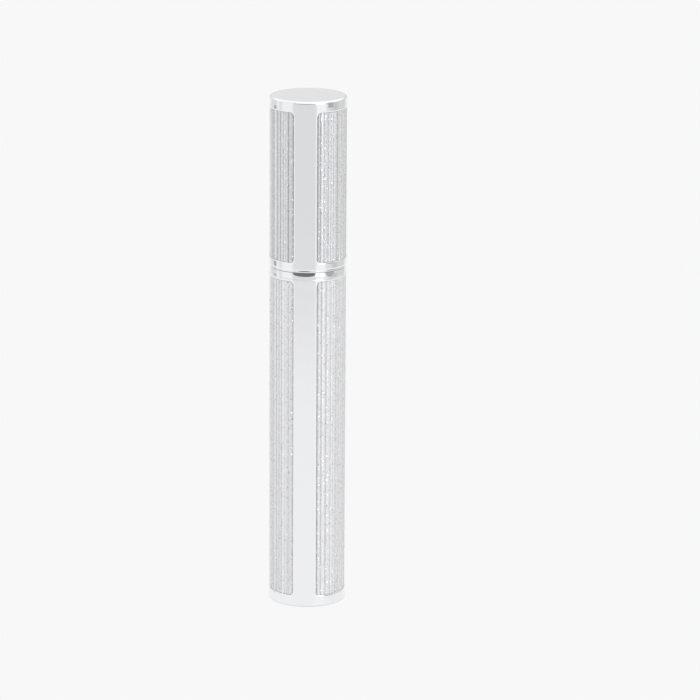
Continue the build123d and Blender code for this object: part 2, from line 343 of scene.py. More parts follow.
class Graph:
    """A node tree in the making."""

    def __init__(self, tree: bpy.types.NodeTree) -> None:
        """Work on one node tree."""
        self.tree = tree

    def add(self, kind: str, inputs: dict[str | int, Any] | None = None, **settings: Any) -> bpy.types.Node:
        """Add a node.

        Args:
            kind: The node's type, without its ShaderNode prefix.
            inputs: Values or sockets for its inputs, by name or index.
            settings: Values for its properties.

        Returns:
            The node.
        """
        node = self.tree.nodes.new("ShaderNode" + kind)
        for name, value in settings.items():
            setattr(node, name, value)
        for name, value in (inputs or {}).items():
            if isinstance(value, Socket):
                self.join(value, node.inputs[name])
            else:
                node.inputs[name].default_value = value
        return node

    def join(self, source: Socket, target: Socket) -> None:
        """Link an output to an input."""
        self.tree.links.new(source, target)

    def bump(self, shader: Any, height: Socket, distance: float, strength: float = 1.0) -> None:
        """Raise a shader's normal by a height."""
        inputs = {"Height": height, "Distance": distance, "Strength": strength}
        self.join(self.add("Bump", inputs).outputs[0], shader["Normal"])

    def math(self, operation: str, first: Any, second: Any = 0.0, clamp: bool = False) -> Socket:
        """Add a Math node and give its result."""
        return self.add("Math", {0: first, 1: second}, operation=operation, use_clamp=clamp).outputs[0]

    def vector(self, operation: str, first: Any, second: Any = (0, 0, 0)) -> Socket:
        """Add a Vector Math node and give its vector."""
        return self.add("VectorMath", {0: first, 1: second}, operation=operation).outputs[0]

    def scaled(self, vector: Any, scale: Any) -> Socket:
        """Multiply a vector by a number."""
        return self.add("VectorMath", {0: vector, "Scale": scale}, operation="SCALE").outputs[0]

    def ramp(self, value: Any, low: Any, high: Any, to_low: Any = 0.0, to_high: Any = 1.0) -> Socket:
        """Map a value smoothly from one range to another."""
        inputs = {"Value": value, "From Min": low, "From Max": high, "To Min": to_low, "To Max": to_high}
        return self.add("MapRange", inputs, interpolation_type="SMOOTHSTEP").outputs["Result"]

    def blend(self, share: Any, first: Any, second: Any) -> Socket:
        """Mix two numbers."""
        return self.add("Mix", {0: share, 2: first, 3: second}, data_type="FLOAT").outputs[0]

    def tint(self, share: Any, first: Any, second: Any) -> Socket:
        """Mix two colours."""
        return self.add("Mix", {0: share, 6: first, 7: second}, data_type="RGBA").outputs[2]

    def noise(self, vector: Any, scale: float, detail: float = 2.0, rough: float = 0.5) -> Socket:
        """Add a Noise texture and give its factor."""
        inputs = {"Vector": vector, "Scale": scale, "Detail": detail, "Roughness": rough}
        return self.add("TexNoise", inputs).outputs["Fac"]

    def here(self) -> Socket:
        """Give the Object coordinates."""
        return self.add("TexCoord").outputs["Object"]


class Effect(Enum):
    """The shared shader effects, each of which is one node group."""

    WAVES = "surface_waves"
    HAIRLINES = "hairline_scratches"
    DUST = "settled_dust"
    FLAKES = "glitter_flakes"
    GRAIN = "moulded_grain"


class EffectKit:
    """Builds each shared effect once and places it in materials."""

    SOCKETS: ClassVar[dict[Effect, tuple[dict[str, float], dict[str, str]]]] = {
        Effect.WAVES: ({"Scale": 150.0, "Depth": 1.0}, {"Height": "Float"}),
        Effect.HAIRLINES: ({"Scale": 400.0, "Amount": 0.5}, {"Height": "Float", "Mask": "Float"}),
        Effect.DUST: ({"Scale": 900.0, "Amount": 0.3}, {"Mask": "Float"}),
        Effect.FLAKES: (
            {"Size": 0.00016, "Tilt": 0.5},
            {"Normal": "Vector", "Brightness": "Float", "Hue": "Color"},
        ),
        Effect.GRAIN: ({"Scale": 3000.0, "Depth": 1.0}, {"Height": "Float", "Roughness": "Float"}),
    }

    @classmethod
    def tree(cls, effect: Effect) -> bpy.types.NodeTree:
        """Give the node group of an effect, which is built the first time."""
        found = bpy.data.node_groups.get(effect.value)
        if found:
            return found
        made = bpy.data.node_groups.new(effect.value, "ShaderNodeTree")
        inputs, outputs = cls.SOCKETS[effect]
        for name, value in inputs.items():
            socket = made.interface.new_socket(name, in_out="INPUT", socket_type="NodeSocketFloat")
            socket.default_value = value
        for name, kind in outputs.items():
            made.interface.new_socket(name, in_out="OUTPUT", socket_type="NodeSocket" + kind)
        graph = Graph(made)
        given = made.nodes.new("NodeGroupInput").outputs
        wanted = made.nodes.new("NodeGroupOutput").inputs
        results = getattr(cls, effect.name.lower())(graph, given)
        for name, socket in results.items():
            made.links.new(socket, wanted[name])
        return made

    @classmethod
    def place(cls, graph: Graph, effect: Effect, **values: Any) -> Any:
        """Place an effect in a material and give its outputs."""
        node = graph.tree.nodes.new("ShaderNodeGroup")
        node.node_tree = cls.tree(effect)
        for name, value in values.items():
            node.inputs[name].default_value = value
        return node.outputs

    @staticmethod
    def waves(graph: Graph, given: Any) -> dict[str, Socket]:
        """Long, low waves of a polished moulding: soft noise times a depth."""
        place = graph.scaled(graph.here(), given["Scale"])
        slow = graph.noise(place, 1.0, 1.0)
        return {"Height": graph.math("MULTIPLY", slow, given["Depth"])}

    @staticmethod
    def hairlines(graph: Graph, given: Any) -> dict[str, Socket]:
        """Sparse fine scratches: thin bands of stretched noise in two crossing directions."""
        place = graph.scaled(graph.here(), given["Scale"])
        stretch, half_line = 0.06, 0.012
        masks = []
        for turn in ((0.3, 0.2, 0.5), (1.1, 0.7, 2.3)):
            inputs = {"Vector": place, "Rotation": turn}
            turned = graph.add("VectorRotate", inputs, rotation_type="EULER_XYZ")
            drawn = graph.vector("MULTIPLY", turned.outputs[0], (stretch, 1.0, 1.0))
            value = graph.noise(drawn, 1.0, 1.0)
            edge = graph.math("ABSOLUTE", graph.math("SUBTRACT", value, 0.5))
            masks.append(graph.ramp(edge, 0.0, half_line, 1.0, 0.0))
        patches = graph.ramp(graph.noise(place, 0.11), 0.5, 0.68)
        lines = graph.math("MULTIPLY", graph.math("MAXIMUM", masks[0], masks[1]), patches)
        mask = graph.math("MULTIPLY", lines, given["Amount"])
        return {"Height": graph.math("MULTIPLY", mask, -1.0), "Mask": mask}

    @staticmethod
    def dust(graph: Graph, given: Any) -> dict[str, Socket]:
        """Sparse specks: the near points of a cell pattern, kept where a slow noise is high."""
        place = graph.scaled(graph.here(), given["Scale"])
        cells = graph.add("TexVoronoi", {"Vector": place, "Scale": 1.0})
        speck = graph.ramp(cells.outputs["Distance"], 0.05, 0.16, 1.0, 0.0)
        patches = graph.ramp(graph.noise(place, 0.06), 0.45, 0.7)
        both = graph.math("MULTIPLY", speck, patches)
        return {"Mask": graph.math("MULTIPLY", both, given["Amount"])}

    @staticmethod
    def flakes(graph: Graph, given: Any) -> dict[str, Socket]:
        """Flakes of glitter: each cell of a pattern leans its own way and has its own brightness."""
        scale = graph.math("DIVIDE", 1.0, given["Size"])
        place = graph.scaled(graph.here(), scale)
        cells = graph.add("TexVoronoi", {"Vector": place, "Scale": 1.0, "Randomness": 1.0})
        dice = graph.add("SeparateColor", {0: cells.outputs["Color"]}).outputs
        lean = graph.vector("SUBTRACT", cells.outputs["Color"], (0.5, 0.5, 0.5))
        normal = graph.add("NewGeometry").outputs["Normal"]
        tilted = graph.vector("ADD", normal, graph.scaled(lean, given["Tilt"]))
        return {
            "Normal": graph.vector("NORMALIZE", tilted),
            "Brightness": dice[1],
            "Hue": cells.outputs["Color"],
        }

    @staticmethod
    def grain(graph: Graph, given: Any) -> dict[str, Socket]:
        """The fine skin of moulded plastic: two octaves of noise, and a slower one for the shine."""
        place = graph.scaled(graph.here(), given["Scale"])
        fine = graph.noise(place, 1.0, 3.0, 0.6)
        return {
            "Height": graph.math("MULTIPLY", fine, given["Depth"]),
            "Roughness": graph.noise(place, 0.08, 2.0),
        }


# Finishes


@dataclass(frozen=True)
class Finish:
    """What every finish has: the material's name and the record's slot."""

    name: str
    slot: str

    def material(self) -> bpy.types.Material:
        """Give the material, which is made the first time."""
        found = bpy.data.materials.get(self.name)
        if found:
            return found
        made = bpy.data.materials.new(self.name)
        made.use_nodes = True
        graph = Graph(made.node_tree)
        self.wire(graph, made.node_tree.nodes["Principled BSDF"].inputs)
        return made

    def wire(self, graph: Graph, shader: Any) -> None:
        """Set the shader's inputs."""
        raise NotImplementedError


@dataclass(frozen=True)
class Chrome(Finish):
    """Vacuum-metallised, slightly satin chrome with faint waves, hairlines and dust."""

    colour: Colour = (0.925, 0.932, 0.941)
    roughness: float = 0.07
    wave_scale: float = 160.0
    wave_depth: float = 0.000012
    line_scale: float = 900.0
    line_amount: float = 0.5
    line_roughness: float = 0.12
    dust_scale: float = 1400.0
    dust_amount: float = 0.5
    dust_colour: Colour = (0.8, 0.8, 0.79)
    dust_roughness: float = 0.3

    def wire(self, graph: Graph, shader: Any) -> None:
        """Metal whose roughness rises in hairlines and under dust, over long low waves."""
        waves = EffectKit.place(graph, Effect.WAVES, Scale=self.wave_scale, Depth=1.0)
        lines = EffectKit.place(graph, Effect.HAIRLINES, Scale=self.line_scale, Amount=self.line_amount)
        dust = EffectKit.place(graph, Effect.DUST, Scale=self.dust_scale, Amount=self.dust_amount)
        shader["Metallic"].default_value = 1.0
        dusted = graph.tint(dust["Mask"], (*self.colour, 1), (*self.dust_colour, 1))
        graph.join(dusted, shader["Base Color"])
        worn = graph.ramp(lines["Mask"], 0.0, 1.0, self.roughness, self.roughness + self.line_roughness)
        rough = graph.math("ADD", worn, graph.math("MULTIPLY", dust["Mask"], self.dust_roughness))
        graph.join(rough, shader["Roughness"])
        graph.bump(shader, waves["Height"], self.wave_depth)


@dataclass(frozen=True)
class Glitter(Finish):
    """A pressed silver film, close-packed with fine flakes and strewn with larger ones that flash."""

    body: Colour = (0.955, 0.972, 0.99)
    # Painted shade: the colour factor at the valley radius, which darkens the grooves in place of the shade
    # that falls in them
    groove: float = 0.5
    rib_drift: float = 0.76
    fine_size: float = 0.00011
    fine_tilt: float = 0.3
    coarse_size: float = 0.00021
    coarse_tilt: float = 0.7
    flash_above: float = 0.86
    valley_radius: float = 0.0086
    crest_radius: float = 0.00883
    rib_pitch: float = 0.00103
    low_tone: float = 0.9
    hue_tint: float = 0.1
    flash_tint: float = 0.6
    metallic: float = 0.75
    roughness: float = 0.4
    flash_roughness: float = 0.2

    def wire(self, graph: Graph, shader: Any) -> None:
        """Each flake has its own tone and lean; painted shade darkens the grooves by radius, and the tone
        drifts from rib to rib.
        """
        fine = EffectKit.place(graph, Effect.FLAKES, Size=self.fine_size, Tilt=self.fine_tilt)
        coarse = EffectKit.place(graph, Effect.FLAKES, Size=self.coarse_size, Tilt=self.coarse_tilt)
        here = graph.add("SeparateXYZ", {0: graph.here()}).outputs
        flat = graph.add("CombineXYZ", {0: here[0], 1: here[1]}).outputs[0]
        radius = graph.add("VectorMath", {0: flat}, operation="LENGTH").outputs["Value"]
        # Painted shade: the colour darkens with radius from the crests into the valleys and over the sunk
        # shoulders by the strip
        height = graph.ramp(radius, self.valley_radius, self.crest_radius, self.groove, 1.0)
        angle = graph.math("ARCTAN2", here[1], here[0])
        along = graph.math("MULTIPLY", angle, 0.5 * self.crest_radius / self.rib_pitch)
        drift = graph.add("TexNoise", {"W": along, "Scale": 1.0, "Detail": 1.0}, noise_dimensions="1D")
        rib = graph.ramp(drift.outputs["Fac"], 0.3, 0.7, self.rib_drift, 1.0)
        low = tuple(self.low_tone * part for part in self.body)
        tone = graph.tint(fine["Brightness"], (*low, 1), (*self.body, 1))
        hued = graph.tint(self.hue_tint, tone, coarse["Hue"])
        # The painted groove shade times the random tone of each rib
        shade = graph.math("MULTIPLY", height, rib)
        groove_shade_and_rib_tone = graph.add("CombineColor", {0: shade, 1: shade, 2: shade}).outputs[0]
        mixed = graph.add("Mix", {0: 1.0, 6: hued, 7: groove_shade_and_rib_tone}, data_type="RGBA", blend_type="MULTIPLY")
        flash = graph.math("GREATER_THAN", coarse["Brightness"], self.flash_above)
        colour = graph.tint(graph.math("MULTIPLY", flash, self.flash_tint), mixed.outputs[2], WHITE)
        graph.join(colour, shader["Base Color"])
        graph.join(graph.blend(flash, self.metallic, 1.0), shader["Metallic"])
        graph.join(graph.blend(flash, self.roughness, self.flash_roughness), shader["Roughness"])
        lean = graph.add("Mix", {0: flash, 4: fine["Normal"], 5: coarse["Normal"]}, data_type="VECTOR")
        graph.join(lean.outputs[1], shader["Normal"])


@dataclass(frozen=True)
class Plastic(Finish):
    """Moulded plastic with a fine skin, an uneven shine and a little dust."""

    colour: Colour = (0.01, 0.01, 0.011)
    roughness: float = 0.2
    grain_scale: float = 3000.0
    grain_depth: float = 0.000004
    dust: float = 0.2
    subsurface: float = 0.0
    coat: float = 0.0
    subsurface_scale: float = 0.0008
    coat_roughness: float = 0.03
    dust_scale: float = 1100.0
    dust_colour: Colour = (0.6, 0.6, 0.58)
    dust_roughness: float = 0.3

    def wire(self, graph: Graph, shader: Any) -> None:
        """The colour shifts slightly with the grain, and the shine with a slower noise."""
        grain = EffectKit.place(graph, Effect.GRAIN, Scale=self.grain_scale, Depth=1.0)
        dust = EffectKit.place(graph, Effect.DUST, Scale=self.dust_scale, Amount=self.dust)
        lighter = tuple(min(1.0, 1.15 * part + 0.002) for part in self.colour)
        mottled = graph.tint(grain["Roughness"], (*self.colour, 1), (*lighter, 1))
        dusted = graph.tint(dust["Mask"], mottled, (*self.dust_colour, 1))
        graph.join(dusted, shader["Base Color"])
        shine = graph.blend(grain["Roughness"], 0.8 * self.roughness, 1.3 * self.roughness)
        dull = graph.math("MULTIPLY", dust["Mask"], self.dust_roughness)
        rough = graph.math("ADD", shine, dull, clamp=True)
        graph.join(rough, shader["Roughness"])
        shader["Subsurface Weight"].default_value = self.subsurface
        shader["Subsurface Scale"].default_value = self.subsurface_scale
        shader["Coat Weight"].default_value = self.coat
        shader["Coat Roughness"].default_value = self.coat_roughness
        graph.bump(shader, grain["Height"], self.grain_depth)


@dataclass(frozen=True)
class Paste(Finish):
    """Thick wet black paste with streaks and a waxy shine."""

    colour: Colour = (0.006, 0.006, 0.007)
    streak: Colour = (0.02, 0.019, 0.02)
    streak_scale: float = 1500.0
    stretch: float = 0.25
    wet: float = 0.12
    dull: float = 0.5
    depth: float = 0.0002

    def wire(self, graph: Graph, shader: Any) -> None:
        """Streaked upwards, as a brush leaves it: noise squeezed along Z drives shine and bump."""
        drawn = graph.vector("MULTIPLY", graph.here(), (1.0, 1.0, self.stretch))
        streaks = graph.noise(drawn, self.streak_scale, 4.0, 0.6)
        graph.join(graph.tint(streaks, (*self.colour, 1), (*self.streak, 1)), shader["Base Color"])
        graph.join(graph.blend(streaks, self.wet, self.dull), shader["Roughness"])
        graph.bump(shader, streaks, self.depth, 0.8)


@dataclass(frozen=True)
class Foam(Finish):
    """Fine closed-cell foam, pale and dull, with open pores."""

    colour: Colour = (0.8, 0.8, 0.78)
    roughness: float = 0.85
    pore_scale: float = 6500.0
    pore_shade: float = 0.62
    pore_depth: float = 0.00008

    def wire(self, graph: Graph, shader: Any) -> None:
        """Pores are the middles of a cell pattern, lower than the skin between them and darkened with
        painted shade.
        """
        cells = graph.add("TexVoronoi", {"Vector": graph.here(), "Scale": self.pore_scale})
        pore = graph.ramp(cells.outputs["Distance"], 0.1, 0.5)
        painted_pore_shade_colour = tuple(self.pore_shade * part for part in self.colour)
        graph.join(graph.tint(pore, (*painted_pore_shade_colour, 1), (*self.colour, 1)), shader["Base Color"])
        shader["Roughness"].default_value = self.roughness
        graph.bump(shader, pore, self.pore_depth, 0.7)


CHROME = Chrome("satin_chrome", "chrome")
GLITTER = Glitter("silver_glitter", "glitter")
PALE_GLITTER = Glitter("pale_silver_glitter", "glitter", (0.97, 0.98, 0.995), groove=0.62, rib_drift=0.87)
BASE_PLASTIC = Plastic(
    "moulded_base",
    "base_plastic",
    (0.55, 0.56, 0.57),
    0.38,
    grain_scale=2600.0,
    grain_depth=0.000008,
    dust=0.25,
)
VIAL_PLASTIC = Plastic(
    "moulded_vial",
    "vial_plastic",
    (0.76, 0.76, 0.73),
    0.22,
    grain_scale=2200.0,
    grain_depth=0.000003,
    dust=0.06,
    subsurface=0.5,
)
WIPER_PLASTIC = Plastic(
    "moulded_wiper",
    "wiper_plastic",
    (0.72, 0.72, 0.7),
    0.35,
    dust=0.05,
    subsurface=0.4,
)
BLACK_GLOSS = Plastic(
    "moulded_black_gloss",
    "black_gloss",
    (0.008, 0.008, 0.009),
    0.1,
    grain_scale=1800.0,
    grain_depth=0.000002,
    dust=0.08,
    coat=0.6,
)
STEM_PLASTIC = Plastic(
    "moulded_stem",
    "stem_plastic",
    (0.011, 0.012, 0.013),
    0.3,
    grain_scale=2600.0,
    grain_depth=0.000006,
    dust=0.12,
)
ELASTOMER = Plastic(
    "moulded_brush_elastomer",
    "brush_elastomer",
    (0.009, 0.009, 0.01),
    0.42,
    grain_scale=4200.0,
    grain_depth=0.000008,
    dust=0.1,
)
MASCARA = Paste("mascara_paste", "mascara")
SEAL_FOAM = Foam("closed_cell_foam", "seal_foam")


# Pieces


@dataclass(frozen=True)
class Extent:
    """Outer radius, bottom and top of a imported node, in millimetres."""

    radius: float
    low: float
    high: float

    @classmethod
    def of(cls, node: str) -> Extent:
        """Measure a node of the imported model."""
        lowest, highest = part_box(node)
        return cls(highest.y / MM, lowest.z / MM, highest.z / MM)


@dataclass
class Piece:
    """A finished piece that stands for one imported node."""

    node: str
    body: str
    finish: Finish
    extent: Extent = field(init=False)

    def __post_init__(self) -> None:
        """Measure the node that this piece stands for."""
        self.extent = Extent.of(self.node)

    def shape(self) -> Surface:
        """Work out the piece's surface."""
        raise NotImplementedError

    def turned(self, corners: list[Corner], sides: int = 192) -> Surface:
        """Revolve a section, given by its corners, once round the Z axis."""
        return Surface().add(*revolve(rounded_path(corners), round_angles(sides)))

    def build(self) -> bpy.types.Object:
        """Make the object, give it its finish and attach it to the frame."""
        made = self.shape().to_object(self.node + "_form")
        made.data.materials.append(self.finish.material())
        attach(made, self.body)
        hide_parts(self.node)
        LOG.info("%s: %d faces", made.name, len(made.data.polygons))
        return made


@dataclass
class WindowCut:
    """The window round a shell: where it is and how its edge is finished.

    The edge is a quarter of an ellipse, as wide as edge and edge_fall times that deep.
    """

    low: float
    high: float
    strip_half_angle: float = math.radians(17.7)
    corner: float = 0.9
    edge: float = 0.36
    edge_fall: float = 0.4
    depth: float = 0.65


class ShellEnd(Enum):
    """How the top of a shell ends."""

    OPEN = "open"
    CLOSED = "closed"


@dataclass
class ChromeShell(Piece):
    """A chrome tube with a window pocket round it and one strip left smooth at the front."""

    window: WindowCut = field(default_factory=lambda: WindowCut(0, 1))
    end: ShellEnd = ShellEnd.OPEN
    bore_radius: float = 7.6
    low_fillet: float = 0.3
    high_fillet: float = 0.2
    inner_fillet: float = 0.1
    ceiling_below: float = 1.2
    lean_depth: float = 0.09
    lean_height: float = 1.5
    groove_height: float = 0.5
    groove_width: float = 0.5
    groove_depth: float = 0.0
    groove_arc: float = 0.3
    shoulder_arc: float = 1.2
    edge_samples: int = 216
    side_samples: int = 25
    arc_samples: int = 17
    blend_rows: int = 7
    edge_rows: int = 9

    def half_width(self) -> float:
        """Half of the window's width, measured round the outside."""
        return (math.pi - self.window.strip_half_angle) * self.extent.radius

    def outline(self, grow: float) -> Pair:
        """Walk round the window: straight edges joined by quarter circles, grown outwards evenly.

        Args:
            grow: How far outside the window's edge the walk runs.

        Returns:
            Points and outward normals, as distance round the outside and height.
        """
        inner, across, up = self.straights()
        quarter = np.linspace(0, math.pi / 2, self.arc_samples)
        ones, rise = np.ones_like(across), np.ones_like(up)
        parts = (
            (across, up[0] * ones, 0 * ones, -ones),
            self.corner_arc(inner, up[0], quarter - math.pi / 2),
            (inner * rise, up, rise, 0 * rise),
            self.corner_arc(inner, up[-1], quarter),
            (across[::-1], up[-1] * ones, 0 * ones, ones),
            self.corner_arc(-inner, up[-1], quarter + math.pi / 2),
            (-inner * rise, up[::-1], -rise, 0 * rise),
            self.corner_arc(-inner, up[0], quarter + math.pi),
        )
        u, z, nu, nz = (np.concatenate(column) for column in zip(*parts))
        reach = self.window.corner + grow
        return np.stack((u + reach * nu, z + reach * nz), -1), np.stack((nu, nz), -1)

    def straights(self) -> tuple[float, np.ndarray, np.ndarray]:
        """Give where the corners' centres lie, and points along the level and the upright edges."""
        cut = self.window
        inner = self.half_width() - cut.corner
        across = np.linspace(-inner, inner, self.edge_samples)
        return inner, across, np.linspace(cut.low + cut.corner, cut.high - cut.corner, self.side_samples)

    @staticmethod
    def corner_arc(u: float, z: float, angles: np.ndarray) -> tuple[np.ndarray, ...]:
        """Centre and directions of one rounded corner."""
        return np.full_like(angles, u), np.full_like(angles, z), np.cos(angles), np.sin(angles)

    def surround(self) -> np.ndarray:
        """Walk round the skin's own edge, with a point for each point of the window's outline.

        Edge points go straight down or up to the skin's end; a corner's points spread round the skin's
        corner, half of them along its end and half along the middle of the front strip.

        Returns:
            Points, as distance round the outside and height.
        """
        low, high = self.skin_ends()
        seam = math.pi * self.extent.radius
        inner, across, up = self.straights()
        share = np.linspace(0, 1, self.arc_samples)
        spread = inner + (seam - inner) * np.minimum(2 * share, 1)
        climb = np.maximum(2 * share - 1, 0)
        ones, rise = np.ones_like(across), np.ones_like(up)
        low_corner = low + (up[0] - low) * climb
        high_corner = high - (high - up[-1]) * climb
        parts = [
            (across, low * ones),
            (spread, low_corner),
            (seam * rise, up),
            (spread[::-1], high_corner[::-1]),
            (across[::-1], high * ones),
            (-spread, high_corner),
            (-seam * rise, up[::-1]),
            (-spread[::-1], low_corner[::-1]),
        ]
        u, z = (np.concatenate(column) for column in zip(*parts))
        return np.stack((u, z), -1)

    def skin_ends(self) -> tuple[float, float]:
        """Heights where the outer skin meets the rounded ends, above any groove."""
        foot = self.groove_height + self.groove_width if self.groove_depth else self.low_fillet + 0.05
        head = self.lean_height + 0.1 if self.end is ShellEnd.CLOSED else self.high_fillet + 0.03
        return self.extent.low + foot, self.extent.high - head

    def wrap(self, flat: np.ndarray, depth: Any = 0.0) -> tuple[np.ndarray, np.ndarray, np.ndarray]:
        """Wrap unrolled points round the shell.

        Args:
            flat: Distance round the outside and height.
            depth: How far below the outer skin the points lie.

        Returns:
            The points, the radial directions and the directions round the shell.
        """
        angle = math.pi / 2 + flat[..., 0] / self.extent.radius
        radial, round_way = compass(angle)
        points = radial * np.broadcast_to(self.extent.radius - depth, angle.shape)[..., None]
        points[..., 2] = flat[..., 1]
        return points, radial, round_way

    def skin_angles(self) -> np.ndarray:
        """Give the angles of the points along the skin's ends, which the revolved parts share."""
        ends = self.surround()
        low = self.skin_ends()[0]
        along = np.unique(np.round(ends[np.isclose(ends[:, 1], low), 0], 9))
        return math.pi / 2 + along / self.extent.radius

    def shape(self) -> Surface:
        """Join the windowed skin, the window's rounded edge and pocket, and the revolved ends and bore."""
        made = Surface()
        cut = self.window
        edge, edge_normals = self.outline(cut.edge)
        share = np.linspace(0, 1, self.blend_rows)[:, None, None]
        flat = self.surround() * (1 - share) + edge * share
        points, radial, _ = self.wrap(flat)
        made.add(points, radial)
        roll = np.linspace(0, math.pi / 2, self.edge_rows)
        base, _ = self.outline(0.0)
        grown = base + edge_normals * (cut.edge * (1 - np.sin(roll)))[:, None, None]
        depth = (cut.edge * cut.edge_fall * (1 - np.cos(roll)))[:, None]
        grown = np.concatenate((grown, base[None]))
        depth = np.concatenate((depth, [[cut.depth]]))
        points, radial, round_way = self.wrap(grown, depth)
        inward = -(edge_normals[:, :1] * round_way + edge_normals[:, 1:] * UP)
        lean = np.arctan2(cut.edge_fall * np.sin(roll), np.cos(roll))
        lean = np.append(lean, math.pi / 2)[:, None, None]
        made.add(points, radial * np.cos(lean) + inward * np.sin(lean))
        limit = self.half_width() - cut.corner
        middle = np.full(len(base), (cut.low + cut.high) / 2)
        spine = np.stack((np.clip(base[:, 0], -limit, limit), middle), -1)
        points, radial, _ = self.wrap(np.stack((base, spine)), cut.depth)
        made.add(points, radial)
        for path in self.end_paths():
            made.add(*revolve(path, self.skin_angles()))
        return made

    def end_paths(self) -> list[Pair]:
        """Paths of the revolved parts, from one end of the skin to the other or to the axis."""
        outer, bore = self.extent.radius, self.bore_radius
        low, high = self.extent.low, self.extent.high
        skin_low, skin_high = self.skin_ends()
        foot = [(outer, skin_low, 0), (outer, low, self.low_fillet), (bore, low, self.inner_fillet)]
        if self.groove_depth:
            middle = low + self.groove_height
            half = self.groove_width / 2
            foot[1:1] = [
                (outer, middle + half, self.groove_arc),
                (outer - self.groove_depth, middle, self.groove_arc / 2),
                (outer, middle - half, self.groove_arc),
            ]
        if self.end is ShellEnd.OPEN:
            rim = [(bore, high, self.inner_fillet), (outer, high, self.high_fillet), (outer, skin_high, 0)]
            return [rounded_path(foot + rim)]
        ceiling = high - self.ceiling_below
        lid = [
            (0, high, 0),
            (outer - self.lean_depth, high, self.high_fillet),
            (outer, high - self.lean_height, self.shoulder_arc),
            (outer, skin_high, 0),
        ]
        inside = [(bore, ceiling, self.inner_fillet), (0, ceiling, 0)]
        return [rounded_path(lid, 12), rounded_path(foot + inside)]


@dataclass
class GlitterPanel(Piece):
    """A wrap of rounded upright ribs, cut to the window that it sits in."""

    window: WindowCut = field(default_factory=lambda: WindowCut(0, 1))
    shell_radius: float = 9.0
    clearance: float = 0.03
    crest_radius: float = 8.85
    valley_radius: float = 8.6
    floor_radius: float = 8.35
    rib_count: int = 50
    rib_samples: int = 12
    width_spread: float = 0.42
    shoulder: float = 0.9
    shoulder_sink: float = 0.14
    low_round: float = 0.06
    high_round: float = 0.14
    arch_power: float = 2.4
    least_rise: float = 0.45
    seed: int = 7

    def shape(self) -> Surface:
        """Ribs are arcs from valley to valley; each has its own height, and the ends round off.

        Ribs differ a little in width. The radius at share x across a rib is crest - rise |2x - 1|^power,
        less a square fall towards the strip, and the rounding of a quarter circle at the top and bottom.
        """
        dice = np.random.default_rng(self.seed)
        gap = self.clearance / self.shell_radius
        half = math.pi - self.window.strip_half_angle - gap
        steps = self.rib_count * self.rib_samples
        share = np.linspace(0, self.rib_count, steps + 1)
        rib = np.minimum(share.astype(int), self.rib_count - 1)
        across = share - rib
        widths = 1 + self.width_spread * dice.uniform(-1, 1, self.rib_count)
        starts = np.concatenate(([0], np.cumsum(widths))) / widths.sum()
        place = starts[rib] + across * (starts[rib + 1] - starts[rib])
        rise = (self.crest_radius - self.valley_radius) * dice.uniform(self.least_rise, 1.0, self.rib_count)
        arch = 1 - np.abs(2 * across - 1) ** self.arch_power
        angle = math.pi / 2 - half + 2 * half * place
        front = self.crest_radius - rise[rib] * (1 - arch)
        side = np.minimum(place, 1 - place) * 2 * half * self.shell_radius
        front = front - self.shoulder_sink * np.clip(1 - side / self.shoulder, 0, 1) ** 2
        corner = self.window.corner
        reach = np.clip(corner - side, 0, corner)
        inset = self.clearance + corner - np.sqrt(corner**2 - reach**2)
        low, high = self.window.low + inset, self.window.high - inset
        roll = np.linspace(0, math.pi / 2, 5)[:, None]
        sink, ease = 1 - np.sin(roll), 1 - np.cos(roll)
        z = np.concatenate((low + self.low_round * ease, high - self.high_round * ease[::-1]))
        r = np.concatenate((front - self.low_round * sink, front - self.high_round * sink[::-1]))
        face = np.stack((r * np.cos(angle), r * np.sin(angle), z), -1)
        floor = np.full_like(r, self.floor_radius)
        back = np.stack((floor * np.cos(angle), floor * np.sin(angle), z), -1)
        radial, round_way = compass(angle)
        made = Surface()
        made.add(face, grid_normals(face, np.broadcast_to(radial, face.shape)))
        made.add(back, -radial)
        for end, sign in ((0, -1.0), (-1, 1.0)):
            made.add(np.stack((face[end], back[end])), sign * UP)
            made.add(np.stack((face[:, end], back[:, end])), sign * round_way[end])
        return made


@dataclass
class CollarRing(Piece):
    """The bevelled chrome band over the bottle's end, with a skirt down inside the shell."""

    start_radius: float = 7.2
    bore_radius: float = 6.03
    skirt_radius: float = 7.57
    skirt_wall: float = 0.6
    skirt_length: float = 1.7
    bevel_height: float = 0.7
    bevel_depth: float = 0.17
    bevel_arc: float = 5.5

    def shape(self) -> Surface:
        """Revolve the band's section, whose upper part curves in towards the cap."""
        outer, top = self.extent.radius, self.extent.high
        seat = self.extent.low + self.skirt_length
        inner = self.skirt_radius - self.skirt_wall
        corners = [
            (self.start_radius, top, 0),
            (outer - self.bevel_depth, top, 0.03),
            (outer, top - self.bevel_height, self.bevel_arc),
            (outer, seat, 0.12),
            (self.skirt_radius, seat, 0.03),
            (self.skirt_radius, self.extent.low, 0.15),
            (inner, self.extent.low, 0.1),
            (inner, seat, 0.1),
            (self.bore_radius, seat, 0.08),
            (self.bore_radius, top, 0.1),
            (self.start_radius, top, 0),
        ]
        return self.turned(corners, 288)


@dataclass
class BaseDisc(Piece):
    """The disc set a little way up inside the base, with a shallow dish and a raised rim."""

    dish_radius: float = 5.9
    dish_depth: float = 0.15

    def shape(self) -> Surface:
        """Revolve the disc's section, with the dish on its underside."""
        outer, low, high = self.extent.radius, self.extent.low, self.extent.high
        dish = low + self.dish_depth
        corners = [
            (0, high, 0),
            (outer, high, 0.05),
            (outer, low, 0.2),
            (self.dish_radius + 0.3, low, 0.12),
            (self.dish_radius, dish, 0.12),
            (0, dish, 0),
        ]
        return self.turned(corners)


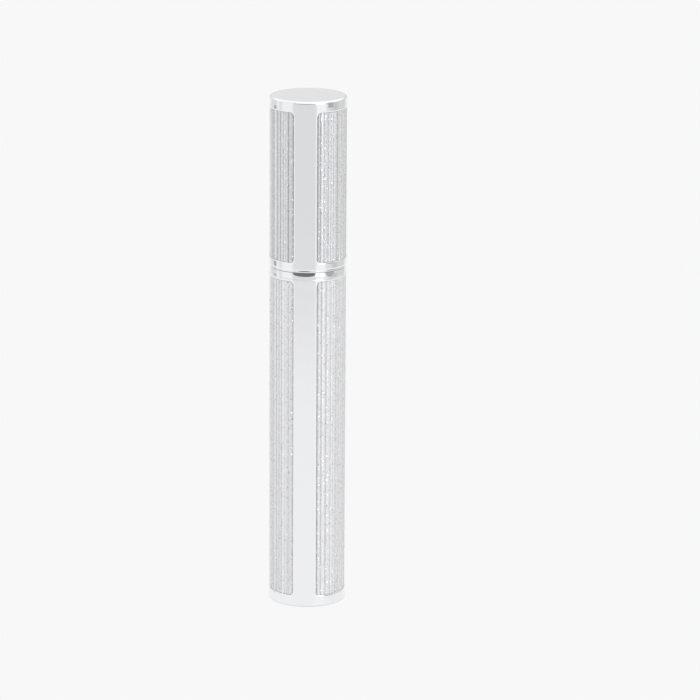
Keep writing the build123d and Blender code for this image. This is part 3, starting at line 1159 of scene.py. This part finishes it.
@dataclass(frozen=True)
class ScrewThread:
    """A right-hand, one-start thread of rounded trapezoid section."""

    lead: float = 2.5
    root_width: float = 0.9
    crest_width: float = 0.45
    embed: float = 0.08

    def ridge(self, root: float, crest: float, start: float, turns: float) -> Pair:
        """Carry the section up its helix from a wall at the radius root."""
        sign = 1 if crest > root else -1
        widths = (self.root_width, self.crest_width)
        return helical_ridge(root - sign * self.embed, crest, start, turns, self.lead, widths)


@dataclass
class InnerVial(Piece):
    """The mascara's own container: a bore, a shoulder and a threaded neck."""

    wall: float = 0.95
    floor: float = 0.9
    neck_radius: float = 6.0
    neck_bore: float = 4.9
    neck_height: float = 16.05
    shoulder: float = 1.2
    thread_crest: float = 6.7
    thread_below_top: float = 8.0
    thread_turns: float = 1.25
    thread: ScrewThread = ScrewThread()

    def shape(self) -> Surface:
        """Revolve the wall's section, from the floor up the bore, over the neck and down the outside."""
        outer, low, top = self.extent.radius, self.extent.low, self.extent.high
        bore = outer - self.wall
        shoulder = top - self.neck_height
        cone_top = shoulder - self.shoulder
        corners = [
            (0, low + self.floor, 0),
            (bore, low + self.floor, 0.5),
            (bore, cone_top - (bore - self.neck_bore), 0.4),
            (self.neck_bore, cone_top, 0.4),
            (self.neck_bore, top, 0.12),
            (self.neck_radius, top, 0.15),
            (self.neck_radius, shoulder, 0.1),
            (outer, shoulder, 0.08),
            (outer, low, 0.08),
            (0, low, 0),
        ]
        made = self.turned(corners)
        start = top - self.thread_below_top
        return made.add(*self.thread.ridge(self.neck_radius, self.thread_crest, start, self.thread_turns))


@dataclass
class Wiper(Piece):
    """A flanged sleeve whose cone narrows to a lip that strips the stem."""

    start_radius: float = 5.0
    flange: float = 0.8
    sleeve_radius: float = 4.87
    bore_radius: float = 4.17
    cone_top: float = 6.0
    cone_length: float = 3.0
    lip_radius: float = 1.83
    lip_wall: float = 0.5
    lip_length: float = 0.8

    def shape(self) -> Surface:
        """Revolve the sleeve's section."""
        top = self.extent.high
        cone = top - self.cone_top
        lip = cone - self.cone_length
        corners = [
            (self.start_radius, top, 0),
            (self.extent.radius, top, 0.15),
            (self.extent.radius, top - self.flange, 0.1),
            (self.sleeve_radius, top - self.flange, 0.05),
            (self.sleeve_radius, cone - 0.7, 0.3),
            (self.lip_radius + self.lip_wall, lip, 0.2),
            (self.lip_radius + self.lip_wall, lip - self.lip_length, 0.12),
            (self.lip_radius, lip - self.lip_length, 0.12),
            (self.lip_radius, lip, 0.3),
            (self.bore_radius, cone, 0.5),
            (self.bore_radius, top, 0.3),
            (self.start_radius, top, 0),
        ]
        return self.turned(corners, 144)


@dataclass
class Formula(Piece):
    """The mascara left in the vial, with the track that the brush has cleared through it."""

    bore_radius: float = 4.5
    track_depth: float = 0.55
    rows: int = 60
    dip: float = 0.8

    def shape(self) -> Surface:
        """Revolve the section, then push the bore and the top about by slow waves round and along it."""
        outer, low, high = self.extent.radius, self.extent.low, self.extent.high
        middle = (self.bore_radius + outer) / 2
        heights = [low + (high - low) * row / self.rows for row in range(1, self.rows + 1)]
        bore = [(self.bore_radius, height, 0) for height in heights]
        corners = [(middle, high, 0), (outer, high, 0.3), (outer, low, 0.3), (self.bore_radius, low, 0.0)]
        path = rounded_path(corners + bore + [(middle, high, 0)], 2)
        points, normals = revolve(path, round_angles(96))
        radius = np.linalg.norm(points[..., :2], axis=-1)
        angle = np.arctan2(points[..., 1], points[..., 0])
        z = points[..., 2]
        ripple = 0.5 + 0.25 * np.sin(3 * angle + 0.35 * z) + 0.25 * np.sin(5 * angle - 0.9 * z + 1.0)
        inside = smooth((middle - radius) / (middle - self.bore_radius))
        push = 1 + self.track_depth * ripple * inside / radius
        points[..., :2] *= push[..., None]
        points[..., 2] -= smooth(z - high + 1.0) * (0.5 + 0.5 * np.sin(2 * angle + 0.7)) * self.dip
        return Surface().add(points, grid_normals(points, normals))


@dataclass
class SealWasher(Piece):
    """The foam washer between the wiper's flange and the inner cap."""

    start_radius: float = 4.0
    bore_radius: float = 2.23

    def shape(self) -> Surface:
        """Revolve a ring with softly rounded edges."""
        outer, low, high = self.extent.radius, self.extent.low, self.extent.high
        corners = [
            (self.start_radius, high, 0),
            (outer, high, 0.2),
            (outer, low, 0.2),
            (self.bore_radius, low, 0.2),
            (self.bore_radius, high, 0.2),
            (self.start_radius, high, 0),
        ]
        return self.turned(corners, 128)


@dataclass
class InnerCap(Piece):
    """The glossy black inner cap: threaded skirt, a web for the stem and an open sleeve above it."""

    start_radius: float = 7.25
    bore_radius: float = 6.95
    mouth_chamfer: float = 0.25
    web_low: float = 94.8
    web_thickness: float = 2.4
    hole_radius: float = 2.63
    thread_crest: float = 6.25
    thread_start: float = 83.75
    thread_turns: float = 1.0
    thread: ScrewThread = ScrewThread()

    def shape(self) -> Surface:
        """Revolve the cap's section and add the thread on the inside of its skirt."""
        outer, low, high = self.extent.radius, self.extent.low, self.extent.high
        bore = self.bore_radius
        web_high = self.web_low + self.web_thickness
        corners = [
            (self.start_radius, high, 0),
            (outer, high, 0.12),
            (outer, low, 0.12),
            (bore + self.mouth_chamfer, low, 0.08),
            (bore, low + self.mouth_chamfer, 0.12),
            (bore, self.web_low, 0.3),
            (self.hole_radius, self.web_low, 0.08),
            (self.hole_radius, web_high, 0.05),
            (bore, web_high, 0.3),
            (bore, high, 0.1),
            (self.start_radius, high, 0),
        ]
        made = self.turned(corners)
        return made.add(*self.thread.ridge(bore, self.thread_crest, self.thread_start, self.thread_turns))


@dataclass
class WandStem(Piece):
    """The stem: a flanged plug in the web, a bead below the washer and a taper to the brush."""

    flange_thickness: float = 1.0
    plug_radius: float = 2.6
    plug_length: float = 2.4
    root_radius: float = 1.78
    tip_radius: float = 1.65
    bead_radius: float = 2.35
    bead_high: float = 89.9
    bead_height: float = 0.6
    socket_radius: float = 0.93
    socket_depth: float = 8.0

    def shape(self) -> Surface:
        """Revolve the stem's section, from the top of its flange down to the brush's socket."""
        top, low = self.extent.high, self.extent.low
        ledge = top - self.flange_thickness
        web = ledge - self.plug_length
        bead_low = self.bead_high - self.bead_height
        corners = [
            (0, top, 0),
            (self.extent.radius, top, 0.2),
            (self.extent.radius, ledge, 0.08),
            (self.plug_radius, ledge, 0.02),
            (self.plug_radius, web, 0.1),
            (self.root_radius, web, 0.1),
            (self.root_radius, self.bead_high, 0.05),
            (self.bead_radius, self.bead_high - self.bead_height / 3, 0.08),
            (self.bead_radius, bead_low + self.bead_height / 3, 0.08),
            (self.root_radius, bead_low, 0.05),
            (self.tip_radius, low, 0.2),
            (self.socket_radius, low, 0.08),
            (self.socket_radius, low + self.socket_depth, 0.1),
            (0, low + self.socket_depth, 0),
        ]
        return self.turned(corners, 96)


@dataclass
class Brush(Piece):
    """The moulded brush: a core with rows of short bristles, one side of long spikes and a curled tip."""

    length: float = 24.0
    rows: int = 20
    pin_radius: float = 0.9
    core_radius: float = 1.15
    short_radius: float = 2.28
    wing_radius: float = 2.85
    long_end_radius: float = 2.6
    long_mid_radius: float = 4.05
    cone_radius: float = 1.95
    cone_tip: float = 0.22
    cone_length: float = 1.8
    socket_depth: float = 7.97
    core_skirt: float = 0.35
    shorts_in_row: int = 15
    short_scatter: float = 0.12
    short_foot: float = 0.3
    short_tip: float = 0.12
    long_fan: tuple[float, ...] = (-17.0, 0.0, 17.0)
    long_stagger: float = 4.0
    long_scatter: float = 0.15
    long_foot: float = 0.36
    long_tip: float = 0.07
    droop: float = 0.05
    curl_radius: float = 0.42
    curl_wire: float = 0.09
    curl_turn: float = math.radians(225)
    seed: int = 3

    def shape(self) -> Surface:
        """Join the core, the bristles and the curl."""
        top = self.extent.high - self.socket_depth
        bottom = top - self.length
        tip = bottom - self.cone_length
        skirt = self.core_radius + self.core_skirt
        corners = [
            (0, self.extent.high, 0),
            (self.pin_radius, self.extent.high, 0.15),
            (self.pin_radius, top, 0.0),
            (skirt, top, 0.15),
            (skirt, bottom + self.core_skirt, 0.2),
            (self.cone_radius, bottom + 0.15, 0.1),
            (self.cone_radius, bottom, 0.12),
            (0.85, bottom - 0.62 * self.cone_length, 1.2),
            (self.cone_tip, tip, 0.1),
            (0, tip, 0),
        ]
        made = self.turned(corners, 64)
        self.add_bristles(made, bottom)
        made.add(*self.curl(tip))
        return made

    def add_bristles(self, made: Surface, bottom: float) -> None:
        """Set the rows: short bristles all round, staggered, and a fan of long spikes on the +X side.

        A long spike at share t along the brush (-1 to 1) reaches end + (middle - end) sqrt(1 - t^2).

        Args:
            made: The surface that the bristles are added to.
            bottom: Height of the brush's lower end.
        """
        dice = np.random.default_rng(self.seed)
        row, place = np.meshgrid(np.arange(self.rows), np.arange(self.shorts_in_row), indexing="ij")
        row, place = row.reshape(-1), place.reshape(-1)
        angle = TURN * (place + 0.5 * (row % 2)) / self.shorts_in_row
        last = row == self.rows - 1
        reach = np.where(last, self.wing_radius, self.short_radius) - self.core_radius
        reach = reach - dice.uniform(0, self.short_scatter, row.size)
        made.add(*self.bristles(bottom, row, angle, reach, self.short_foot, self.short_tip))
        row = np.repeat(np.arange(self.rows - 1), len(self.long_fan))
        stagger = np.radians(self.long_stagger) * (row % 2)
        angle = np.tile(np.radians(self.long_fan), self.rows - 1) + stagger
        along = 2 * (row + 0.5) / self.rows - 1
        bulge = (self.long_mid_radius - self.long_end_radius) * np.sqrt(1 - along**2)
        scatter = dice.uniform(0, self.long_scatter, row.size)
        reach = self.long_end_radius + bulge - self.core_radius - scatter
        made.add(*self.bristles(bottom, row, angle, reach, self.long_foot, self.long_tip))

    def bristles(
        self,
        bottom: float,
        row: np.ndarray,
        angle: np.ndarray,
        reach: np.ndarray,
        foot: float,
        tip: float,
    ) -> Pair:
        """Make spikes that stand straight out of the core.

        Args:
            bottom: Height of the brush's lower end.
            row: The row of each spike, counted from below.
            angle: The direction of each spike round the core.
            reach: The length of each spike.
            foot: Radius at the core.
            tip: Radius near the end.

        Returns:
            Points and normals of the spikes.
        """
        out, _ = compass(angle)
        roots = out * self.core_radius
        roots[:, 2] = bottom + self.length / self.rows * (row + 0.5)
        return spikes(roots, out, reach, foot, tip, self.droop)

    def curl(self, tip: float) -> Pair:
        """Carry a thinning round wire along an arc that leaves the tip downwards and curls to +X.

        At angle a the arc's centre line is (R (1 - cos a), 0, tip - R sin a).

        Args:
            tip: Height of the cone's end.

        Returns:
            Points and normals of the wire.
        """
        along = np.append(0, np.linspace(0, self.curl_turn, 25))[:, None]
        around = np.linspace(0, TURN, 9)
        wire = self.curl_wire * (1.25 - 0.45 * along / self.curl_turn)
        wire[[0, -1]] = 0.0
        rise = tip + self.curl_wire - self.curl_radius * np.sin(along)
        centre = np.stack(np.broadcast_arrays(self.curl_radius * (1 - np.cos(along)), 0.0, rise), -1)
        out = np.stack(np.broadcast_arrays(-np.cos(along), 0.0, -np.sin(along)), -1)
        fan = out * np.cos(around)[:, None] + np.array([0.0, 1.0, 0.0]) * np.sin(around)[:, None]
        return centre + fan * wire[..., None], fan


# Sub-assemblies


@dataclass
class Bottle:
    """Everything that stays on the table: the shell, its panel, base, collar, vial and wiper."""

    body: str = "bottle"
    window_low: float = 2.6
    window_high: float = 78.05

    def build(self) -> None:
        """Build the bottle's pieces from the outside in."""
        window = WindowCut(self.window_low, self.window_high)
        ChromeShell("bottle_frame_shell", self.body, CHROME, window=window).build()
        GlitterPanel("bottle_ribbed_panel", self.body, PALE_GLITTER, window=window).build()
        CollarRing("bottle_collar_ring", self.body, CHROME).build()
        BaseDisc("bottle_base_disc", self.body, BASE_PLASTIC).build()
        InnerVial("inner_vial", self.body, VIAL_PLASTIC).build()
        Wiper("wiper", self.body, WIPER_PLASTIC).build()
        Formula("mascara_formula", "formula", MASCARA).build()
        SealWasher("seal_washer", "seal", SEAL_FOAM).build()


@dataclass
class Applicator:
    """What lifts off in the hand: the cap's shell and panel, the inner cap, the stem and the brush."""

    body: str = "applicator"
    window_low: float = 82.5
    window_high: float = 117.4

    def build(self) -> None:
        """Build the applicator's pieces from the outside in."""
        window = WindowCut(self.window_low, self.window_high)
        ChromeShell(
            "cap_frame_shell",
            self.body,
            CHROME,
            window=window,
            end=ShellEnd.CLOSED,
            low_fillet=0.15,
            high_fillet=0.55,
            groove_depth=0.027,
        ).build()
        GlitterPanel("cap_ribbed_panel", self.body, GLITTER, window=window, seed=11).build()
        InnerCap("inner_cap", self.body, BLACK_GLOSS).build()
        WandStem("wand_stem", self.body, STEM_PLASTIC).build()
        Brush("brush", self.body, ELASTOMER).build()


# The studio


class CardShape(Enum):
    """The outline of a patch of the studio."""

    BOX = "box"
    OVAL = "oval"


@dataclass(frozen=True)
class Card:
    """One soft-edged patch of the studio.

    Its left and right are azimuths from the front, with plus to the right, and its low and high are
    elevations, all in degrees. soft is half the blur of its sides, and rise that of its low and high.
    """

    left: float
    right: float
    low: float
    high: float
    light: float
    soft: float = 4.0
    rise: float = 3.0
    shape: CardShape = CardShape.BOX

    def mask(self, graph: Graph, azimuth: Any, elevation: Any) -> Socket:
        """Wire the patch's mask: 1 inside, 0 outside, easing over its soft edge.

        A box is the product of its four edges. An oval is where the squares of the two distances from
        its middle, each as a share of its half-width, add up to less than 1.

        Args:
            graph: The world's tree.
            azimuth: The direction's azimuth in degrees.
            elevation: The direction's elevation in degrees.

        Returns:
            The mask.
        """
        if self.shape is CardShape.OVAL:
            squares = []
            for value, start, end in ((azimuth, self.left, self.right), (elevation, self.low, self.high)):
                away = graph.math("SUBTRACT", value, (start + end) / 2)
                share = graph.math("DIVIDE", away, (end - start) / 2)
                squares.append(graph.math("MULTIPLY", share, share))
            whole = graph.math("ADD", squares[0], squares[1])
            blur = 2 * self.soft / (self.high - self.low)
            return graph.ramp(whole, 1 - blur, 1 + blur, 1.0, 0.0)
        mask = graph.ramp(azimuth, self.left - self.soft, self.left + self.soft)
        for value, edge, soft in (
            (azimuth, self.right, -self.soft),
            (elevation, self.low, self.rise),
            (elevation, self.high, -self.rise),
        ):
            mask = graph.math("MULTIPLY", mask, graph.ramp(value, edge - soft, edge + soft))
        return mask


@dataclass
class Studio:
    """The plain pale floor, the soft light round the object and the camera."""

    backdrop: float = 0.9387
    around: float = 0.92
    # Strength and reach of the painted contact shadow on the floor round the base
    painted_contact_shadow: float = 0.62
    painted_contact_shadow_start: float = 0.00872
    painted_contact_shadow_end: float = 0.00905
    floor_size: float = 40.0
    distance: float = 0.88
    azimuth: float = 3.2
    elevation: float = 14.85
    roll: float = 0.356
    frame_width: float = 0.1625
    sensor: float = 36.0
    aim_right: float = 0.00986
    aim_height: float = 0.05983
    near_clip: float = 0.05
    far_clip: float = 100.0
    cards: tuple[Card, ...] = (
        Card(-400, 400, -90, -50, 0.8, 4, 6),
        Card(-400, 400, -14.5, 90, 0.76, 4, 1.3),
        Card(-400, 400, 6, 90, 0.8, 5, 5),
        Card(-400, 400, 24, 90, 1.1, 7, 7),
        Card(-100, -42, -40, 70, 0.93, 5, 5),
        Card(-92, -78, -16.5, 20, 0.8, 5, 2),
        Card(106, 400, -16.5, 20, 0.69, 14, 3),
        Card(-400, -137, -60, 1, 0.93, 9, 5),
        Card(143, 400, -60, 1, 0.92, 9, 5),
        Card(-116, -103, -16.5, -9, 0.42, 1.5, 1, CardShape.OVAL),
        Card(80, 102, -16.5, 2, 0.58, 12, 3),
        Card(28, 58, -34, 75, 0.96, 5, 5),
        Card(28, 52, 0, 70, 2.6, 2.5, 2.5),
        Card(59, 88, -10, 28, 0.44, 4, 2, CardShape.OVAL),
        Card(-42, 28, -2.5, 21, 0.165, 2, 2, CardShape.OVAL),
    )

    def build(self) -> None:
        """Make the floor, the light and the camera."""
        self.make_floor()
        self.make_world()
        self.make_camera()
        bpy.context.scene.view_settings.view_transform = "Standard"

    def make_floor(self) -> None:
        """Lay one large flat sheet at height zero, even and pale, with a painted contact shadow round the
        base.
        """
        half = self.floor_size / 2 / MM
        line = np.array([-half, half])
        x, y = np.meshgrid(line, line, indexing="ij")
        floor = Surface().add(np.stack((x, y, 0 * x), -1), UP).to_object("studio_floor")
        floor.visible_glossy = False
        material = bpy.data.materials.new("studio_floor")
        material.use_nodes = True
        graph = Graph(material.node_tree)
        nodes = material.node_tree.nodes
        nodes.remove(nodes["Principled BSDF"])
        near = graph.add("VectorMath", {0: graph.here()}, operation="LENGTH").outputs["Value"]
        # Painted contact shadow: the emitted light is dimmed close round the base
        shade = graph.ramp(near, self.painted_contact_shadow_start, self.painted_contact_shadow_end, 1 - self.painted_contact_shadow, 1.0)
        light = graph.math("MULTIPLY", shade, self.backdrop)
        glow = graph.add("Emission", {"Color": WHITE, "Strength": light})
        clear = graph.add("BsdfTransparent")
        under = graph.add("NewGeometry").outputs["Backfacing"]
        mixed = graph.add("MixShader", {0: under, 1: glow.outputs[0], 2: clear.outputs[0]})
        graph.join(mixed.outputs[0], nodes["Material Output"].inputs["Surface"])
        floor.data.materials.append(material)

    def make_world(self) -> None:
        """Light the scene from all round by soft cards, and show a plain pale ground to the camera."""
        world = bpy.data.worlds.new("studio")
        bpy.context.scene.world = world
        world.use_nodes = True
        graph = Graph(world.node_tree)
        nodes = world.node_tree.nodes
        way = graph.add("SeparateXYZ", {0: graph.add("TexCoord").outputs["Generated"]}).outputs
        around = graph.math("ARCTAN2", way[0], graph.math("MULTIPLY", way[1], -1.0))
        azimuth = graph.math("MULTIPLY", around, 360 / TURN)
        elevation = graph.math("MULTIPLY", graph.math("ARCSINE", way[2]), 360 / TURN)
        light: Any = self.around
        for card in self.cards:
            light = graph.blend(card.mask(graph, azimuth, elevation), light, card.light)
        seen = graph.add("LightPath").outputs["Is Camera Ray"]
        strength = graph.blend(seen, light, self.backdrop)
        ground = nodes["Background"]
        ground.inputs["Color"].default_value = WHITE
        graph.join(strength, ground.inputs["Strength"])

    def make_camera(self) -> None:
        """Look at a point beside the object's middle, from the front and a little above."""
        turn, tilt = math.radians(self.azimuth), math.radians(self.elevation)
        right = Vector((math.cos(turn), math.sin(turn), 0))
        back = Vector((math.sin(turn) * math.cos(tilt), -math.cos(turn) * math.cos(tilt), math.sin(tilt)))
        aim = right * self.aim_right + Vector((0, 0, self.aim_height))
        lens = bpy.data.cameras.new("camera")
        lens.sensor_width = self.sensor
        lens.lens = self.sensor * self.distance / self.frame_width
        lens.clip_start = self.near_clip
        lens.clip_end = self.far_clip
        camera = bpy.data.objects.new("camera", lens)
        camera.location = aim + back * self.distance
        level = back.to_track_quat("Z", "Y")
        camera.rotation_euler = (level @ Quaternion((0, 0, 1), math.radians(self.roll))).to_euler()
        bpy.context.scene.collection.objects.link(camera)
        bpy.context.scene.camera = camera


def main() -> None:
    """Load the frame, and build every piece and the studio."""
    logging.basicConfig(level=logging.INFO, format="%(name)s: %(message)s")
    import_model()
    Bottle().build()
    Applicator().build()
    Studio().build()


if __name__ == "__main__":
    main()
